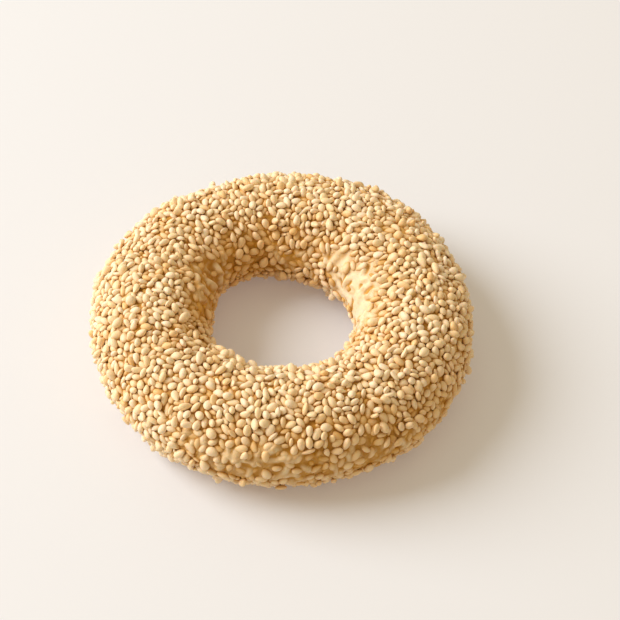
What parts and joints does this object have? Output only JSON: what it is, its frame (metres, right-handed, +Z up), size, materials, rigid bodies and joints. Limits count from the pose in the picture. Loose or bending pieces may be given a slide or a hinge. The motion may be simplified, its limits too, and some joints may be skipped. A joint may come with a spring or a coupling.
{
  "type": "simit",
  "caption": "Baked ring of bread dough, coated all over with pale sesame seeds, resting flat around an open round hole.",
  "frame": {"origin": "on the floor, in the middle of the ring's outline", "axes": "+Z up, out of the ring's flat foot; +X to the right and -Y to the front, as the ring is usually looked at"},
  "size_m": [0.1, 0.0992, 0.0249],
  "materials": {
    "bread_crust": "baked dough crust, smooth and matt, golden with paler spots and a browner foot",
    "sesame_seed": "toasted hulled sesame seeds, cream to golden, satin"
  },
  "bodies": {
    "root": {"bread_ring": "bread_crust"}
  },
  "joints": []
}
